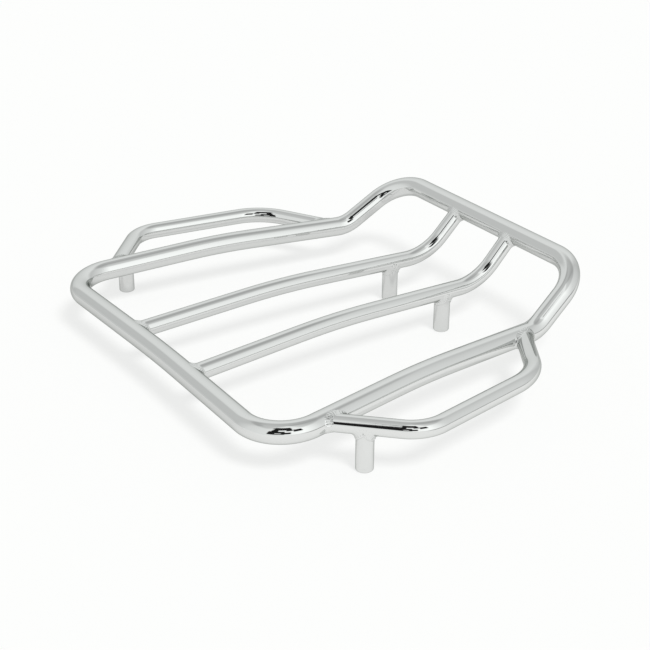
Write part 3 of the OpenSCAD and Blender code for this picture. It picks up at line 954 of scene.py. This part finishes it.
def studio_floor(colours, share):
    """Matt white card: pale and even, with a share of its white that keeps the object's shadow soft."""
    material, tree = new_material("white_card_floor")
    path = add_node(tree, "ShaderNodeLightPath").outputs
    camera, glossy = path["Is Camera Ray"], path["Is Glossy Ray"]
    place = add_node(tree, "ShaderNodeTexCoord").outputs["Object"]
    card = add_node(tree, "ShaderNodeBsdfDiffuse", {"Color": to_linear(colours.floor)})
    # Painted reflection: for reflections only, the card's glow is set a little greyer than straight on, and
    # lightest on the near side.
    depth = add_node(tree, "ShaderNodeSeparateXYZ", {"Vector": place}).outputs["Y"]
    in_chrome = add_node(
        tree,
        "ShaderNodeMapRange",
        {"Value": depth, "From Min": -0.2, "From Max": 0.0, "To Min": 1.0, "To Max": 0.8},
    )
    level = add_node(tree, "ShaderNodeMix", {0: glossy, 2: 1.0, 3: in_chrome}, data_type="FLOAT")
    white = to_linear(colours.floor_white)
    glow = add_node(tree, "ShaderNodeEmission", {"Strength": level, "Color": white})
    seen = add_node(tree, "ShaderNodeMath", {0: camera, 1: glossy}, operation="MAXIMUM")
    glow_share = add_node(tree, "ShaderNodeMath", {0: seen, 1: share}, operation="MULTIPLY")
    near = add_node(tree, "ShaderNodeMixShader", {0: glow_share, 1: card, 2: glow})
    # The card ends somewhere between 45 and 80 cm away: past it the chrome sees a painted table, a glow on
    # the card that only reflections see.
    away = add_node(tree, "ShaderNodeVectorMath", {0: place}, operation="LENGTH").outputs["Value"]
    past = add_node(
        tree,
        "ShaderNodeMapRange",
        {"Value": away, "From Min": 0.45, "From Max": 0.8},
        interpolation_type="SMOOTHSTEP",
    )
    azimuth, _ = azimuth_of(tree, place)
    table_look = {"Strength": by_azimuth(tree, azimuth, PAINTED_TABLE_GLOW), "Color": to_linear(colours.table)}
    table = add_node(tree, "ShaderNodeEmission", table_look)
    table_share = add_node(tree, "ShaderNodeMath", {0: past, 1: glossy}, operation="MULTIPLY")
    surface = add_node(tree, "ShaderNodeMixShader", {0: table_share, 1: near, 2: table})
    add_node(tree, "ShaderNodeOutputMaterial", {"Surface": surface})
    return material


class RACK_OT_stage(Operator):
    """Set the pale floor, the soft studio light and the camera"""

    bl_idname = "rack.stage"
    bl_label = "Stage"

    def execute(self, context):
        scene = context.scene
        self.floor(scene)
        self.world(scene)
        self.lamp(scene)
        self.camera(scene)
        scene.view_settings.view_transform = "Standard"
        return {"FINISHED"}

    def floor(self, scene):
        """One wide card under the feet."""
        sizes = scene.rack_stage
        reach = sizes.floor_reach
        points = [(-reach, -reach, 0.0), (reach, -reach, 0.0), (reach, reach, 0.0), (-reach, reach, 0.0)]
        floor = make_piece("studio_floor", points, [(0, 1, 2, 3)])
        floor.data.materials.append(studio_floor(scene.rack_colours, sizes.floor_share))

    def world(self, scene):
        """The light tent: even light for matt things, and walls, roof and opening for the chrome."""
        sizes, colours = scene.rack_stage, scene.rack_colours
        world = bpy.data.worlds.new("studio_tent")
        scene.world = world
        world.use_nodes = True
        tree = world.node_tree
        tree.nodes.clear()
        azimuth, rise = azimuth_of(tree, add_node(tree, "ShaderNodeTexCoord").outputs["Generated"])
        height = add_node(tree, "ShaderNodeMath", {0: rise}, operation="ARCSINE")
        # The walls go over into the roof between these heights.
        up = add_node(
            tree,
            "ShaderNodeMapRange",
            {"Value": height, "From Min": math.radians(49), "From Max": math.radians(62)},
            interpolation_type="SMOOTHSTEP",
        )
        walls, roof = by_azimuth(tree, azimuth, TENT_WALLS), by_azimuth(tree, azimuth, TENT_ROOF)
        level = add_node(tree, "ShaderNodeMix", {0: up, 2: walls, 3: roof}, data_type="FLOAT")
        for *patch, brightness in TENT_PATCHES:
            mask = tent_patch(tree, azimuth, height, *patch)
            level = add_node(tree, "ShaderNodeMix", {0: mask, 2: level, 3: brightness}, data_type="FLOAT")
        seen = add_node(tree, "ShaderNodeBackground", {"Strength": level, "Color": to_linear(colours.tent)})
        white = to_linear("FFFFFF")
        light = add_node(tree, "ShaderNodeBackground", {"Color": white, "Strength": sizes.tent_strength})
        # Behind the rack the tent is as white as the floor, so that no edge of the floor shows.
        backdrop_look = {"Color": to_linear(colours.backdrop), "Strength": sizes.backdrop_strength}
        backdrop = add_node(tree, "ShaderNodeBackground", backdrop_look)
        path = add_node(tree, "ShaderNodeLightPath").outputs
        in_chrome = add_node(tree, "ShaderNodeMixShader", {0: path["Is Glossy Ray"], 1: light, 2: seen})
        whole = add_node(tree, "ShaderNodeMixShader", {0: path["Is Camera Ray"], 1: in_chrome, 2: backdrop})
        add_node(tree, "ShaderNodeOutputWorld", {"Surface": whole})

    def lamp(self, scene):
        """Soft, even light from high on the rider's left, for the shadows on the floor."""
        sizes = scene.rack_stage
        data = bpy.data.lights.new("soft_lamp", "SUN")
        data.angle = sizes.lamp_spread
        data.energy = sizes.lamp_strength
        lamp = bpy.data.objects.new("soft_lamp", data)
        lamp.location = sizes.lamp_place
        lamp.rotation_euler = lamp.location.to_track_quat("Z", "Y").to_euler()
        lamp.visible_glossy = False
        scene.collection.objects.link(lamp)

    def camera(self, scene):
        """The photograph's view: its place, its direction, a slight roll and its lens."""
        sizes = scene.rack_stage
        a, e, r = sizes.azimuth, sizes.elevation, sizes.roll
        back = np.array([math.sin(a) * math.cos(e), -math.cos(a) * math.cos(e), math.sin(e)])
        right = np.array([math.cos(a), math.sin(a), 0.0])
        up = np.cross(back, right)
        tilted_right = math.cos(r) * right + math.sin(r) * up
        tilted_up = -math.sin(r) * right + math.cos(r) * up
        data = bpy.data.cameras.new("photo_camera")
        data.sensor_width = 36.0
        data.sensor_fit = "HORIZONTAL"
        data.lens = sizes.lens
        camera = bpy.data.objects.new("photo_camera", data)
        rows = [(tilted_right[i], tilted_up[i], back[i], sizes.camera_place[i]) for i in range(3)]
        camera.matrix_world = Matrix([*rows, (0.0, 0.0, 0.0, 1.0)])
        scene.collection.objects.link(camera)
        scene.camera = camera


class RACK_PT_panel(Panel):
    """Lists the rack's pieces and the stage"""

    bl_idname = "RACK_PT_panel"
    bl_label = "Luggage Rack"
    bl_space_type = "VIEW_3D"
    bl_region_type = "UI"
    bl_category = "Luggage Rack"

    def draw(self, context):
        for operator in OPERATORS:
            self.layout.operator(operator.bl_idname)


GROUPS = {
    "rack_hoop": HoopSizes,
    "rack_bar": BarSizes,
    "rack_wing": WingSizes,
    "rack_post": PostSizes,
    "rack_weld": WeldSizes,
    "rack_detail": MeshDetail,
    "rack_colours": FinishColours,
    "rack_stage": StageSizes,
}
OPERATORS = (RACK_OT_hoop, RACK_OT_bars, RACK_OT_wings, RACK_OT_posts, RACK_OT_welds, RACK_OT_stage)


def register():
    """Adds the classes, and one group of sizes or colours each to the scene."""
    for cls in (*GROUPS.values(), *OPERATORS, RACK_PT_panel):
        bpy.utils.register_class(cls)
    for name, group in GROUPS.items():
        setattr(bpy.types.Scene, name, PointerProperty(type=group))


def unregister():
    """Takes away what register added."""
    for name in GROUPS:
        delattr(bpy.types.Scene, name)
    for cls in (RACK_PT_panel, *reversed(OPERATORS), *reversed(GROUPS.values())):
        bpy.utils.unregister_class(cls)


def main():
    """Builds every piece and the stage in order."""
    register()
    for operator in OPERATORS:
        group, name = operator.bl_idname.split(".")
        getattr(getattr(bpy.ops, group), name)()
    bpy.context.view_layer.update()
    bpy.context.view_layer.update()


if __name__ == "__main__":
    main()
